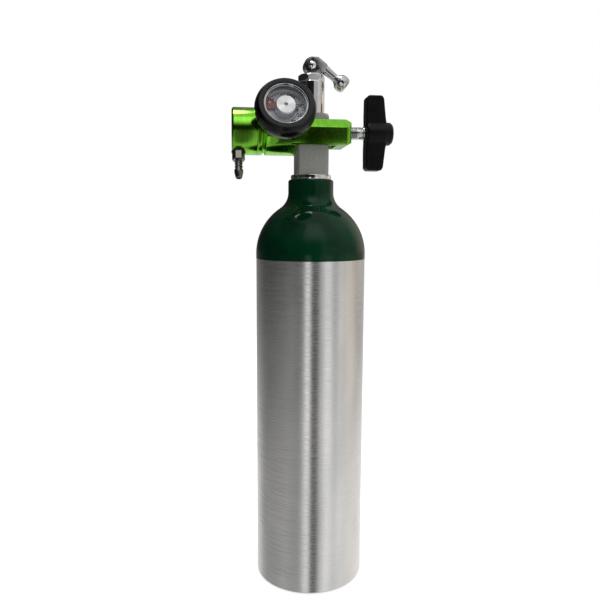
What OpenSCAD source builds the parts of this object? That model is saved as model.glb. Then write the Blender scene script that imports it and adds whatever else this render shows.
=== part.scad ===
// Small medical oxygen cylinder with a toggle post valve and a yoke regulator.
// All lengths are in millimetres. The cylinder stands on Z = 0 with its axis on Z.
// The regulator lies along X: flow head at -X, clamp screw and T-handle at +X.
// The pressure gauge faces -Y and is tipped upward.

/* [Cylinder] */
// outside diameter of the cylinder
body_d = 81.3; // [60:0.1:120]
// height from the standing plane to the top of the neck
neck_z = 304; // [250:1:400]
// wall thickness of the straight part
wall_t = 4.1; // [3:0.1:6]
// outside radius of the neck
neck_r = 16.6; // [14:0.1:20]
// radius of the threaded neck bore
neck_bore_r = 9.5; // [8:0.1:13]
// concave radius between the neck and the shoulder
fillet_r = 14; // [8:0.5:18]
// height of the lower edge of the shoulder paint
paint_z = 246; // [200:1:260]
// thickness of the shoulder paint
paint_t = 0.15; // [0.1:0.01:0.3]

/* [Valve] */
// width of the valve block along X
block_w = 23.4; // [20:0.1:26]
// depth of the valve block along Y
block_d = 22; // [20:0.1:26]
// height of the top of the valve block
block_top = 351; // [345:0.5:355]
// radius of the round upper part
post_r = 9.5; // [8:0.1:11]
// height of the top of the upper part
post_top = 374; // [365:0.5:380]
// height of the toggle pivot pin
toggle_z = 385.2; // [384:0.1:390]
// downward tilt of the toggle lever at rest
toggle_tilt = 37; // [20:1:60]

/* [Regulator] */
// height of the regulator axis
reg_z = 338.3; // [335:0.1:342]
// radius of the turned regulator body
reg_r = 16.8; // [15:0.1:19]
// left end of the flow head
head_x0 = -58; // [-65:0.5:-50]
// parting line between the flow head and the body
part_x = -40.2; // [-44:0.1:-38]
// right end of the yoke
yoke_x1 = 27.6; // [25:0.1:34]
// height of the yoke below the regulator axis
yoke_h = 10.2; // [8:0.1:12]
// height of the yoke above the regulator axis
yoke_top = 8.2; // [7:0.1:10]
// half depth of the yoke
yoke_d = 16; // [14:0.1:18]
// running clearance of the sliding and turning parts
run_c = 0.05; // [0.02:0.01:0.1]

/* [Gauge] */
// position of the gauge along the regulator
gauge_x = -21.9; // [-28:0.1:-20]
// upward tip of the gauge
gauge_tilt = 22; // [0:1:45]
// outside radius of the rubber boot
boot_r = 21.3; // [19:0.1:25]
// radius of the gauge case
case_r = 17.4; // [15:0.1:19]

/* [Outlet] */
// position of the hose barb along the regulator
barb_x = -53.5; // [-55:0.5:-48]
// forward lean of the hose barb from straight down
barb_lean = 22; // [0:1:45]
// largest radius of the barb
barb_r = 3.2; // [2.5:0.1:4]

/* [Clamp screw] */
// radius of the clamp screw
screw_r = 4.5; // [4:0.1:6]
// half length of the T-handle
tee_half = 27.1; // [22:0.1:35]
// depth of the T-handle arms across the screw
tee_w = 12; // [8:0.5:16]

/* [Hidden] */
$fn = 96;
body_r = body_d / 2;
inner_r = body_r - wall_t;
dome_z = 249.5;
foot_r = 1.6;
dish_r = 75.4;
dish_z = 5 - dish_r;
fillet_x = neck_r + fillet_r;
fillet_z = dome_z + sqrt(pow(body_r + fillet_r, 2) - pow(fillet_x, 2));
tangent_x = fillet_x * body_r / (body_r + fillet_r);
tangent_z = dome_z + (fillet_z - dome_z) * body_r / (body_r + fillet_r);
flange_r = 14.8;
flange_z = neck_z + 3.6;
valve_bore_r = 2.2;
seat_z = 345;
chamber_r = 6;
nut_thread_r = 7;
nut_turn = 4.5;
nut_z1 = post_top + 4.9;
port_r = 3.4;
pin_arc = 14.29;
pin_angle = 18;
face_x = -12.3;
spindle_r = 4;
piston_bore_r = 11;
piston_x = -36.7;
stem_r = 3.5;
SILVER = [0.80, 0.80, 0.78];
CAST = [0.56, 0.56, 0.54];
BRASS = [0.78, 0.64, 0.36];
GREEN = [0.33, 0.62, 0.10];
DARKGREEN = [0.02, 0.22, 0.12];
BLACK = [0.07, 0.07, 0.08];
RUBBER = [0.10, 0.10, 0.11];
WHITE = [0.88, 0.88, 0.90];

// ---------- placing helpers ----------

// child's +Z along the regulator axis, its origin at x on that axis
module on_axis(x) {
    translate([x, 0, reg_z]) rotate([0, 90, 0]) children();
}

// child's +Z out along the gauge axis, +Y up on the dial
module on_gauge() {
    translate([gauge_x, 0, reg_z]) rotate([90 - gauge_tilt, 0, 0]) children();
}

// child's +Z out along the hose barb
module on_barb() {
    translate([barb_x, 0, reg_z]) rotate([180 - barb_lean, 0, 0]) children();
}

// child's +Z toward -Y, its origin on the toggle pin, child's +X along the lever
module on_toggle(tilt) {
    translate([0, 0, toggle_z]) rotate([0, tilt, 0]) rotate([90, 0, 0]) children();
}

module ring(r1, r0, h) {
    difference() {
        cylinder(r = r1, h = h);
        translate([0, 0, -1]) cylinder(r = r0, h = h + 2);
    }
}

module o_ring(mean_r, r) {
    rotate_extrude() translate([mean_r, 0]) circle(r = r);
}

// ---------- cylinder ----------

// half profile of the outside, grown by t
module cylinder_profile(t) {
    r = body_r + t;
    translate([0, foot_r]) square([r, dome_z - foot_r]);
    square([body_r - foot_r, foot_r + 1]);
    translate([body_r - foot_r, foot_r]) circle(r = foot_r + t);
    intersection() {
        translate([0, dome_z]) circle(r = r);
        translate([0, dome_z - 1]) square([r + 1, r + 2]);
    }
    translate([0, dome_z]) square([neck_r + t, neck_z - 1.5 - dome_z]);
    translate([0, dome_z]) square([neck_r - 1.5, neck_z + t - dome_z]);
    translate([neck_r - 1.5, neck_z - 1.5]) circle(r = 1.5 + t);
    difference() {
        translate([0, tangent_z]) square([tangent_x, fillet_z - tangent_z]);
        translate([fillet_x, fillet_z]) circle(r = fillet_r - t);
    }
}

module cylinder_shell() color(SILVER) rotate_extrude() difference() {
    cylinder_profile(0);
    translate([0, dish_z]) circle(r = dish_r);
    translate([0, 20]) square([inner_r, 226]);
    translate([0, 10]) square([inner_r - 10, 20]);
    translate([inner_r - 10, 20]) circle(r = 10);
    translate([0, 246]) circle(r = inner_r);
    translate([0, dome_z]) square([neck_bore_r, neck_z]);
}

module shoulder_paint() color(DARKGREEN) rotate_extrude() difference() {
    intersection() {
        cylinder_profile(paint_t);
        translate([0, paint_z]) square([body_r + 5, neck_z - paint_z + 5]);
    }
    cylinder_profile(0);
    translate([0, neck_z - 1]) square([flange_r + 0.2, 5]);
}

module neck_o_ring() color(BLACK) translate([0, 0, neck_z + 0.8]) o_ring(11.4, 0.78);

// ---------- valve ----------

module debris_tube() color(SILVER) translate([0, 0, 258]) ring(2.6, 1.9, 32);

module block_outline() {
    c = 1.6;
    w = block_w / 2;
    d = block_d / 2;
    polygon([[-w, c - d], [c - w, -d], [w - c, -d], [w, c - d],
             [w, d - c], [w - c, d], [c - w, d], [-w, d - c]]);
}

module valve_body() color(CAST) difference() {
    union() {
        translate([0, 0, 285]) cylinder(r = neck_bore_r - 0.1, h = 20);
        rotate_extrude() polygon([[0, neck_z], [flange_r - 0.4, neck_z], [flange_r, neck_z + 0.4],
                                  [flange_r, flange_z - 0.6], [flange_r - 0.6, flange_z], [0, flange_z]]);
        intersection() {
            translate([0, 0, flange_z - 0.1]) linear_extrude(block_top - flange_z + 0.1) block_outline();
            rotate_extrude() polygon([[0, flange_z - 1], [20, flange_z - 1], [20, block_top - 7.2],
                                      [12.8, block_top], [0, block_top]]);
        }
        translate([0, 0, block_top - 1]) cylinder(r = post_r, h = post_top - block_top + 1);
    }
    // gas way up to the seat
    translate([0, 0, 284]) cylinder(r = valve_bore_r, h = seat_z - 284 + 0.5);
    translate([0, 0, 284]) cylinder(r = 2.65, h = 6);
    translate([0, 0, seat_z]) cylinder(r = chamber_r, h = 22);
    translate([0, 0, 366.2]) cylinder(r = nut_thread_r, h = 9);
    // outlet port on the -X face and its riser
    on_axis(-12) cylinder(r = port_r, h = 5.1);
    on_axis(-12) cylinder(r = 1.8, h = 7.6);
    translate([-5, 0, reg_z]) cylinder(r = 1.2, h = seat_z - reg_z + 0.5);
    // index holes of the oxygen pattern
    for (s = [-1, 1])
        translate([-12, s * pin_arc * sin(pin_angle), reg_z - pin_arc * cos(pin_angle)])
            rotate([0, 90, 0]) cylinder(r = 2.1, h = 7.4);
    // dimple for the clamp screw
    on_axis(10.1) cylinder(r1 = 3.2, r2 = 6.15, h = 1.62);
    // safety port on the back
    translate([0, 0, 318]) rotate([-90, 0, 0]) cylinder(r = 1.5, h = 12);
    translate([0, 5, 318]) rotate([-90, 0, 0]) cylinder(r = 4.2, h = 7);
    // groove for the neck seal
    translate([0, 0, neck_z - 0.01]) ring(12.3, 10.5, 1.61);
}

module gland_nut() color(SILVER) difference() {
    union() {
        translate([0, 0, 366.4]) cylinder(r = nut_thread_r - 0.05, h = post_top - 366.3);
        intersection() {
            translate([0, 0, post_top]) rotate([0, 0, nut_turn])
                cylinder(r = 10, h = nut_z1 - post_top, $fn = 6);
            translate([0, 0, post_top]) cylinder(r1 = 13.6, r2 = 8.7, h = nut_z1 - post_top);
            translate([0, 0, post_top]) cylinder(r1 = 9.5, r2 = 14.4, h = nut_z1 - post_top);
        }
    }
    translate([0, 0, 360]) cylinder(r = spindle_r + run_c, h = 20);
}

module stem_packing() color(WHITE) translate([0, 0, 360.9]) ring(chamber_r - 0.05, spindle_r + run_c, 5.1);

module safety_plug() color(BRASS) translate([0, 5.5, 318]) rotate([-90, 0, 0]) difference() {
    union() {
        cylinder(r = 4.15, h = 6);
        translate([0, 0, 5.6]) intersection() {
            cylinder(r = 6.2, h = 4, $fn = 6);
            cylinder(r1 = 8.6, r2 = 5.2, h = 4);
        }
    }
    translate([0, 0, -1]) cylinder(r = 1.5, h = 8);
    translate([0, 0, 6.9]) cylinder(r = 2.6, h = 4);
}

module burst_disc() color(BRASS) translate([0, 5.05, 318]) rotate([-90, 0, 0]) cylinder(r = 4.1, h = 0.4);

module spindle() color(SILVER) difference() {
    union() {
        translate([-3, -0.9, 353]) cube([6, 1.8, 5]);
        translate([0, 0, 357]) cylinder(r = 5.6, h = 3.6);
        translate([0, 0, 357]) cylinder(r = spindle_r, h = toggle_z - 6.3 - 357);
        translate([-3.1, -2.4, 379.5]) cube([6.2, 4.8, toggle_z - 379.5]);
        translate([0, 2.4, toggle_z]) rotate([90, 0, 0]) cylinder(r = 5.3, h = 4.8);
    }
    translate([0, 5, toggle_z]) rotate([90, 0, 0]) cylinder(r = 1.5, h = 10);
}

module toggle_pin() color(SILVER) translate([0, 0, toggle_z]) rotate([90, 0, 0]) {
    translate([0, 0, -5.4]) cylinder(r = 1.5, h = 10.8);
    for (s = [0, 180]) rotate([s, 0, 0]) translate([0, 0, 5.1]) intersection() {
        cylinder(r = 2.6, h = 1);
        translate([0, 0, -3.4]) sphere(r = 4.3);
    }
}

module toggle_lever() color(SILVER) on_toggle(toggle_tilt) {
    difference() {
        union() {
            for (s = [-4.9, 2.7]) translate([0, 0, s]) {
                cylinder(r = 5.9, h = 2.2);
                cube([7, 7.2, 2.2]);
            }
            translate([6.3, 0.6, -4.9]) cube([3.2, 6.6, 9.8]);
        }
        translate([0, 0, -8]) cylinder(r = 1.5 + run_c, h = 16);
        translate([0, 0, -2.7]) cylinder(r = 6.1, h = 5.4);
    }
    translate([8, 4.3, 0]) rotate([0, 90, 0]) {
        cylinder(r1 = 3.4, r2 = 2.8, h = 10);
        translate([0, 0, 10]) cylinder(r1 = 2.8, r2 = 4.4, h = 3.6);
        translate([0, 0, 16.7]) rotate_extrude() intersection() {
            union() {
                translate([1.8, 0]) circle(r = 4.2);
                translate([0, -4.2]) square([1.8, 8.4]);
            }
            translate([0, -5]) square([10, 10]);
        }
    }
}

module seat_plug() color(BRASS) difference() {
    translate([0, 0, 346.6]) cylinder(r = chamber_r - 0.05, h = 8.2);
    translate([-3.3, -1, 351]) cube([6.6, 2, 4]);
    translate([0, 0, 346]) cylinder(r = 3.2, h = 2.2);
    for (a = [90, 270]) rotate([0, 0, a]) translate([5.4, 0, 346]) cylinder(r = 1.4, h = 10);
}

module seat_insert() color(WHITE) translate([0, 0, seat_z + 0.3]) cylinder(r = 3.15, h = 2.85);

// ---------- regulator ----------

module regulator_body() color(GREEN) difference() {
    union() {
        on_axis(part_x) rotate_extrude() polygon([
            [0, 0], [reg_r, 0], [reg_r, 3.4], [reg_r - 1.7, 4.6], [reg_r - 1.7, 5.1], [reg_r, 6.2],
            [reg_r, face_x - part_x], [0, face_x - part_x]]);
        intersection() {
            // end view
            translate([-16, 0, reg_z]) rotate([90, 0, 90]) linear_extrude(50) polygon([
                [0.8 - yoke_d, -yoke_h], [yoke_d - 0.8, -yoke_h], [yoke_d, 0.8 - yoke_h], [yoke_d, 2],
                [yoke_d - 4.2, yoke_top], [4.2 - yoke_d, yoke_top], [-yoke_d, 2], [-yoke_d, 0.8 - yoke_h]]);
            // plan view with rounded corners at the screw end
            translate([0, 0, reg_z - 15]) linear_extrude(30) {
                translate([-16, -yoke_d]) square([yoke_x1 + 16 - 3.8, 2 * yoke_d]);
                translate([-16, 3.8 - yoke_d]) square([yoke_x1 + 16, 2 * yoke_d - 7.6]);
                for (s = [-1, 1]) translate([yoke_x1 - 3.8, s * (yoke_d - 3.8)]) circle(r = 3.8);
            }
            // side view with the end chamfers
            translate([0, 20, reg_z]) rotate([90, 0, 0]) linear_extrude(40) polygon([
                [-16, -yoke_h], [yoke_x1 - 3, -yoke_h], [yoke_x1, 1.8 - yoke_h], [yoke_x1, yoke_top - 2.4],
                [yoke_x1 - 3.8, yoke_top], [-16, yoke_top]]);
        }
    }
    // window for the valve post
    translate([face_x, -11.7, reg_z - 20]) cube([29.5, 23.4, 40]);
    on_axis(16) cylinder(r = screw_r + run_c, h = 20);
    // counterbore for the head, piston bore, stem bore with its seal groove
    on_axis(part_x - 1) cylinder(r = 14.05, h = 4.2);
    on_axis(part_x) cylinder(r = piston_bore_r, h = -28.35 - part_x);
    on_axis(-29) cylinder(r = stem_r + run_c, h = 6.2);
    on_axis(-27.6) cylinder(r = 4.7, h = 1.4);
    on_axis(-23) cylinder(r = 3, h = 2);
    on_axis(-22) cylinder(r = 1.2, h = 10);
    // inlet nipple socket and seal recess
    on_axis(-19) cylinder(r = 4, h = 10);
    on_axis(face_x - 1.4) cylinder(r = 6.2, h = 3);
    for (s = [-1, 1])
        translate([-17, s * pin_arc * sin(pin_angle), reg_z - pin_arc * cos(pin_angle)])
            rotate([0, 90, 0]) cylinder(r = 2.05, h = 6);
    // gauge socket, spot face and gas hole
    on_gauge() translate([0, 0, 7.2]) cylinder(r = 5, h = 12);
    on_gauge() translate([0, 0, 16.1]) cylinder(r = 7.4, h = 8);
    on_gauge() translate([1.7, 0, 0]) cylinder(r = 0.7, h = 9);
    // vent of the spring chamber in the groove
    translate([part_x + 4.85, 0, reg_z]) cylinder(r = 0.8, h = 20);
}

module regulator_head() color(GREEN) difference() {
    on_axis(head_x0) rotate_extrude() polygon([
        [0, 0], [reg_r - 1, 0], [reg_r, 1], [reg_r, part_x - head_x0 - 0.02], [14, part_x - head_x0 - 0.02],
        [14, part_x - head_x0 + 3], [0, part_x - head_x0 + 3]]);
    on_axis(-46) cylinder(r = 9.5, h = 12);
    on_axis(barb_x) cylinder(r = 1, h = 8);
    on_axis(-39.4) ring(20, 12.8, 1.4);
    on_barb() cylinder(r = 1, h = 10);
    on_barb() translate([0, 0, 8]) cylinder(r = 3.6, h = 10);
    on_barb() translate([0, 0, 16.2]) cylinder(r = 5.4, h = 4);
    // shallow socket in the end face
    on_axis(head_x0 - 1) cylinder(r = 3, h = 3);
}

module head_o_ring() color(BLACK) on_axis(-38.7) o_ring(13.42, 0.6);

module inlet_nipple() color(BRASS) difference() {
    union() {
        on_axis(-18.9) cylinder(r = 3.95, h = 5.2);
        on_axis(-18.9) cylinder(r = 3.1, h = 9.2);
        on_axis(-9.72) cylinder(r1 = 3.1, r2 = 2.6, h = 0.9);
    }
    on_axis(-20) cylinder(r = 1.2, h = 12);
    on_axis(-20) cylinder(r = 2.4, h = 3.1);
}

module inlet_filter() color(BRASS) on_axis(-18.9) cylinder(r = 2.35, h = 1.9);

module seal_washer() color(BRASS) on_axis(face_x - 1.38) ring(6, 3.15, 1.96);

module index_pins() color(SILVER) for (s = [-1, 1])
    translate([-16.9, s * pin_arc * sin(pin_angle), reg_z - pin_arc * cos(pin_angle)])
        rotate([0, 90, 0]) {
            cylinder(r = 2, h = 10.6);
            translate([0, 0, 10.6]) cylinder(r1 = 2, r2 = 1.4, h = 0.8);
        }

module nozzle() color(BRASS) on_axis(-22.9) ring(2.95, 0.6, 1.88);

module piston() color(SILVER) on_axis(piston_x) difference() {
    union() {
        cylinder(r = piston_bore_r - 0.06, h = 3);
        cylinder(r = stem_r, h = 10.7);
        cylinder(r = 3, h = 12.5);
    }
    translate([0, 0, -1]) cylinder(r = 0.9, h = 11.6);
    translate([0, 0, 10.6]) rotate([90, 0, 0]) translate([0, 0, -5]) cylinder(r = 0.6, h = 10);
    translate([0, 0, 11.5]) cylinder(r = 2.05, h = 2);
    translate([0, 0, 0.7]) ring(20, 9.4, 1.6);
}

module piston_o_ring() color(BLACK) on_axis(piston_x + 1.5) o_ring(10.15, 0.74);

module stem_o_ring() color(BLACK) on_axis(-26.9) o_ring(4.12, 0.56);

module piston_seat() color(WHITE) on_axis(piston_x + 11.52) cylinder(r = 2, h = 1);

// stack of conical disc springs
module piston_spring() color(SILVER) on_axis(-33.6) rotate_extrude() polygon([
    [5.2, 0], [9.6, 1.3], [5.2, 2.6], [9.6, 3.9], [5.2, 5.2], [5.2, 4.6], [8.2, 3.9],
    [4.6, 2.85], [4.6, 2.35], [8.2, 1.3], [5.2, 0.6]]);

module flow_orifice() color(BRASS) on_barb() translate([0, 0, 8.02]) ring(3.5, 0.35, 1.2);

module barb_washer() color(RUBBER) on_barb() translate([0, 0, 16.22]) ring(5.1, 3.6, 0.7);

module hose_barb() color(SILVER) on_barb() difference() {
    union() {
        translate([0, 0, 9.3]) cylinder(r = 3.55, h = 8);
        translate([0, 0, 16.94]) intersection() {
            cylinder(r = 4.7, h = 6.4, $fn = 6);
            cylinder(r1 = 7.6, r2 = 4.2, h = 6.4);
        }
        translate([0, 0, 20]) cylinder(r = 2.6, h = 16.6);
        translate([0, 0, 30.4]) cylinder(r1 = 2.6, r2 = barb_r, h = 0.4);
        translate([0, 0, 30.8]) cylinder(r = barb_r, h = 1.6);
        translate([0, 0, 32.4]) cylinder(r1 = barb_r, r2 = 2.3, h = 4.6);
    }
    cylinder(r = 1.5, h = 50);
}

// ---------- gauge ----------

module gauge_stem() color(BRASS) on_gauge() difference() {
    union() {
        translate([0, 0, 7.4]) cylinder(r = 4.95, h = 10);
        translate([0, 0, 16.12]) cylinder(r = 6.4, h = 6, $fn = 6);
        translate([0, 0, 20]) cylinder(r = 4, h = 6.7);
        rotate([0, 0, -60]) translate([0, -2.5, 25.7]) cube([12.4, 5, 1.1]);
        rotate([0, 0, -60]) translate([7.6, -2.5, 25.7]) cube([4.8, 5, 2.5]);
    }
    translate([0, 0, 6]) cylinder(r = 0.7, h = 19);
}

module gauge_case() color(BLACK) on_gauge() difference() {
    translate([0, 0, 24.2]) cylinder(r = case_r, h = 12.2);
    translate([0, 0, 25.6]) cylinder(r = 16.4, h = 12);
    translate([0, 0, 23]) cylinder(r = 4.03, h = 4);
}

module gauge_boot() color(RUBBER) on_gauge() rotate_extrude() difference() {
    intersection() {
        translate([boot_r - 12.33, 31.5]) circle(r = 12.33);
        translate([8, 22.3]) square([20, 16.9]);
    }
    translate([0, 24.15]) square([case_r + 0.05, 13.8]);
    translate([0, 37]) square([15.5, 5]);
    translate([19.6, 37.9]) circle(r = 0.6);
    translate([19.6, 25]) circle(r = 0.6);
}

module gauge_bezel() color(SILVER) on_gauge() rotate_extrude() polygon([
    [14, 36.45], [case_r, 36.45], [case_r, 37.85], [15.4, 37.85], [15.4, 38.4], [15.2, 38.6],
    [14.8, 38.6], [14.6, 38.4], [14.6, 37.5], [14, 37.5]]);

module gauge_lens() color([0.9, 0.95, 0.96, 0.35]) on_gauge() translate([0, 0, 37.55])
    cylinder(r = 14.55, h = 0.7);

module gauge_dial() color(WHITE) on_gauge() translate([0, 0, 28.6]) ring(16.3, 1.5, 0.8);

module gauge_pointer() color(SILVER) on_gauge() {
    translate([0, 0, 27]) cylinder(r = 1, h = 4);
    translate([0, 0, 30.2]) cylinder(r = 7.2, h = 6.4);
    translate([0, 0, 36.6]) cylinder(r1 = 7.2, r2 = 6.5, h = 0.6);
    translate([0, 0, 30.1]) linear_extrude(0.4) polygon([
        [-12.8, -0.25], [-12.8, 0.25], [-6, 0.9], [6, 1.1], [9.2, 1.1], [9.2, -1.1], [6, -1.1], [-6, -0.9]]);
}

module gauge_movement() color(BRASS) on_gauge() translate([0, 0, 27]) ring(5.6, 1 + run_c, 1.2);

module bourdon_tube() color(BRASS) on_gauge() translate([0, 0, 27]) rotate([0, 0, -45])
    rotate_extrude(angle = 243) translate([10.6, -1.25]) square([1.3, 2.5]);

// ---------- clamp screw ----------

module pressure_pad() color(SILVER) difference() {
    union() {
        on_axis(12) cylinder(r = 4.3, h = 2.8);
        on_axis(10.8) cylinder(r1 = 2.6, r2 = 4.3, h = 1.2);
    }
    on_axis(12.6) cylinder(r = 2 + run_c, h = 4);
}

module clamp_screw() color(SILVER) difference() {
    union() {
        on_axis(13) cylinder(r = 2, h = 4);
        on_axis(15.2) cylinder(r1 = 3.6, r2 = screw_r, h = 0.9);
        on_axis(16.1) cylinder(r = screw_r, h = 21.3);
        on_axis(37.3) cylinder(r = 3.6, h = 1);
        on_axis(38.2) rotate_extrude() intersection() {
            translate([3.9, 0.9]) circle(r = 1);
            square([6, 1.8]);
        }
        on_axis(38.2) cylinder(r = 3.9, h = 14.8);
    }
    translate([48, 12, reg_z]) rotate([90, 0, 0]) cylinder(r = 1.25, h = 18.6);
}

module t_handle() color(BLACK) difference() {
    union() {
        translate([0, tee_w / 2, reg_z]) rotate([90, 0, 0]) linear_extrude(tee_w) polygon([
            [40.2, 6], [40, 12], [40.2, tee_half - 2], [41.8, tee_half], [52, tee_half], [53.3, tee_half - 2],
            [55.6, 8], [55.6, -8], [53.3, 2 - tee_half], [52, -tee_half], [41.8, -tee_half],
            [40.2, 2 - tee_half], [40, -12], [40.2, -6]]);
        on_axis(40.5) cylinder(r = 9.1, h = 15.7);
        on_axis(56) cylinder(r = 8.4, h = 3);
        on_axis(59) cylinder(r1 = 8.4, r2 = 6.6, h = 1.8);
    }
    on_axis(39) cylinder(r = 3.95, h = 14.4);
    on_axis(39) cylinder(r = 5.1, h = 1.6);
    translate([48, 12, reg_z]) rotate([90, 0, 0]) cylinder(r = 1.25, h = 18.6);
}

module handle_pin() color(SILVER) translate([48, 8.8, reg_z]) rotate([90, 0, 0]) cylinder(r = 1.2, h = 15.3);

cylinder_shell();
shoulder_paint();
neck_o_ring();
debris_tube();
valve_body();
gland_nut();
stem_packing();
safety_plug();
burst_disc();
spindle();
toggle_pin();
toggle_lever();
seat_plug();
seat_insert();
regulator_body();
regulator_head();
head_o_ring();
inlet_nipple();
inlet_filter();
seal_washer();
index_pins();
nozzle();
piston();
piston_o_ring();
stem_o_ring();
piston_seat();
piston_spring();
flow_orifice();
barb_washer();
hose_barb();
gauge_stem();
gauge_case();
gauge_boot();
gauge_bezel();
gauge_lens();
gauge_dial();
gauge_pointer();
gauge_movement();
bourdon_tube();
pressure_pad();
clamp_screw();
t_handle();
handle_pin();
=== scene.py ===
"""Visual model of a small oxygen cylinder with a toggle post valve and a yoke regulator.

Shapes are drawn in millimetres in local frames, and written to metres in the CAD frame.
"""
import random
from math import atan2, cos, degrees, hypot, pi, radians, sin, sqrt, tan

import bmesh
import bpy
from mathutils import Matrix, Vector

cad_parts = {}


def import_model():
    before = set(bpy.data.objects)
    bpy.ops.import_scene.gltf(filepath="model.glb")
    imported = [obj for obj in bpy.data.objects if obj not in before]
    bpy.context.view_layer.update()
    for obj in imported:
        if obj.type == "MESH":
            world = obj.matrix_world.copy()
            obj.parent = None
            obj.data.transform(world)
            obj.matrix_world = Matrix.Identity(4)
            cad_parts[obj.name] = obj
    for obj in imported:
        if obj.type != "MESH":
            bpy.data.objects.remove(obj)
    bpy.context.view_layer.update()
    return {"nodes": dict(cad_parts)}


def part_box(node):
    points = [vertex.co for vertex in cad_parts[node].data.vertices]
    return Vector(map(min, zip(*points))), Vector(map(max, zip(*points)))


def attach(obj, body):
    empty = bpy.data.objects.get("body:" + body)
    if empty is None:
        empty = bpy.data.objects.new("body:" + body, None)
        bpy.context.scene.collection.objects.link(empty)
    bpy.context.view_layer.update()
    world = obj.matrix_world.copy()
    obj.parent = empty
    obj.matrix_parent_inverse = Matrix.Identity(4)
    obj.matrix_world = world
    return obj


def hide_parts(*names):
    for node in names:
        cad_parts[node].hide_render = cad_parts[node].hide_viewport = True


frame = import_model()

MM = 1000  # millimetres in a metre


# ---------- places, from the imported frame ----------

def span(node):
    """Lowest and highest corner of a CAD node, in millimetres."""
    lo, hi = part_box(node)
    return lo * MM, hi * MM


def middle(node, axis):
    lo, hi = span(node)
    return (lo[axis] + hi[axis]) / 2


def turn(axis, angle):
    return Matrix.Rotation(radians(angle), 4, axis)


def shift(x, y, z):
    return Matrix.Translation((x, y, z))


BODY_R = span("cylinder_shell")[1].x
NECK_Z = span("cylinder_shell")[1].z
REG_Z = middle("regulator_head", 2)
REG_R = span("regulator_head")[1].y
HEAD_X0 = span("regulator_head")[0].x
PART_X = span("regulator_body")[0].x
YOKE_X1 = span("regulator_body")[1].x
GAUGE_X = middle("gauge_bezel", 0)
BARB_X = middle("hose_barb", 0)
TOGGLE_Z = middle("toggle_pin", 2)
POST_TOP = span("valve_body")[1].z
TEE_HALF = span("t_handle")[1].z - REG_Z
HANDLE_PIN_X = 48
PLUG_Z = 318
GAUGE_TURN = 68
BARB_TURN = 158
TOGGLE_LEAN = 37
INDEX_CIRCLE = 14.29
INDEX_TURN = 18

# local frames, whose +Z runs up (UPRIGHT, CENTRE), to the front, along the regulator, out of the
# gauge, out along the barb, along the toggle pin (TOGGLE leans with the lever, PIN does not),
# out of the safety plug, along the handle's pin and along each index pin
UPRIGHT = Matrix.Identity(4)
CENTRE = shift(0, 0, REG_Z)
FRONT = CENTRE @ turn("X", 90)
ALONG = CENTRE @ turn("Y", 90)
GAUGE = shift(GAUGE_X, 0, REG_Z) @ turn("X", GAUGE_TURN)
BARB = shift(BARB_X, 0, REG_Z) @ turn("X", BARB_TURN)
TOGGLE = shift(0, 0, TOGGLE_Z) @ turn("Y", TOGGLE_LEAN) @ turn("X", 90)
PIN = shift(0, 0, TOGGLE_Z) @ turn("X", 90)
PLUG = shift(0, 0, PLUG_Z) @ turn("X", -90)
HANDLE_PIN = shift(HANDLE_PIN_X, 0, REG_Z) @ turn("X", 90)
INDEX_PINS = [shift(0, side * INDEX_CIRCLE * sin(radians(INDEX_TURN)),
                    -INDEX_CIRCLE * cos(radians(INDEX_TURN))) @ ALONG for side in (-1, 1)]
MILLI = Matrix.Scale(1 / MM, 4)


# ---------- mesh building ----------

def rounded(points, steps=4):
    """A line of (x, y) or (x, y, radius) points, with those corners turned into arcs."""
    out = []
    for i, point in enumerate(points):
        here = Vector(point[:2])
        radius = point[2] if len(point) > 2 else 0
        if radius <= 0:
            out.append(tuple(here))
            continue
        before = Vector(points[i - 1][:2]) - here
        after = Vector(points[(i + 1) % len(points)][:2]) - here
        half = before.angle(after) / 2
        reach = min(radius / tan(half), 0.49 * before.length, 0.49 * after.length)
        radius = reach * tan(half)
        before.normalize()
        after.normalize()
        centre = here + (before + after).normalized() * radius / sin(half)
        first = here + before * reach - centre
        last = here + after * reach - centre
        for k in range(steps + 1):
            arm = first.lerp(last, k / steps).normalized() * radius
            out.append(tuple(centre + arm))
    return out


def mirrored(points):
    """A line of points, followed by its mirror image in the first axis."""
    return points + [(x, -y, *radius) for x, y, *radius in reversed(points)]


def arc(cx, cy, radius, start, end, steps):
    """Points on an arc, from the start angle to the end angle in degrees."""
    angles = [radians(start + (end - start) * k / steps) for k in range(steps + 1)]
    return [(cx + radius * cos(a), cy + radius * sin(a)) for a in angles]


def bridge(bm, a, b):
    """Faces between two rings of vertices; a ring of one vertex is a point on the axis."""
    n = max(len(a), len(b))
    for i in range(n):
        j = (i + 1) % n
        if len(a) == 1 and len(b) > 1:
            bm.faces.new((a[0], b[i], b[j]))
        elif len(b) == 1 and len(a) > 1:
            bm.faces.new((a[i], a[j], b[0]))
        elif len(a) > 1:
            bm.faces.new((a[i], a[j], b[j], b[i]))


def circle(bm, r, z, steps):
    """A ring of vertices round +Z, or one vertex where the radius is nothing."""
    if r < 1e-5:
        return [bm.verts.new((0, 0, z))]
    angles = [2 * pi * k / steps for k in range(steps)]
    return [bm.verts.new((r * cos(a), r * sin(a), z)) for a in angles]


def lathe(profile, steps, arcs=4):
    """A half profile of (radius, height) turned round +Z. It closes on the axis or on itself."""
    bm = bmesh.new()
    rings = [circle(bm, r, z, steps) for r, z in rounded(profile, arcs)]
    for a, b in zip(rings, rings[1:]):
        bridge(bm, a, b)
    if len(rings[0]) > 1 and len(rings[-1]) > 1:
        bridge(bm, rings[-1], rings[0])
    return bm


def rod(radius, z0, z1, steps):
    """A plain cylinder on +Z."""
    return lathe([(0, z0), (radius, z0), (radius, z1), (0, z1)], steps)


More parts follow.
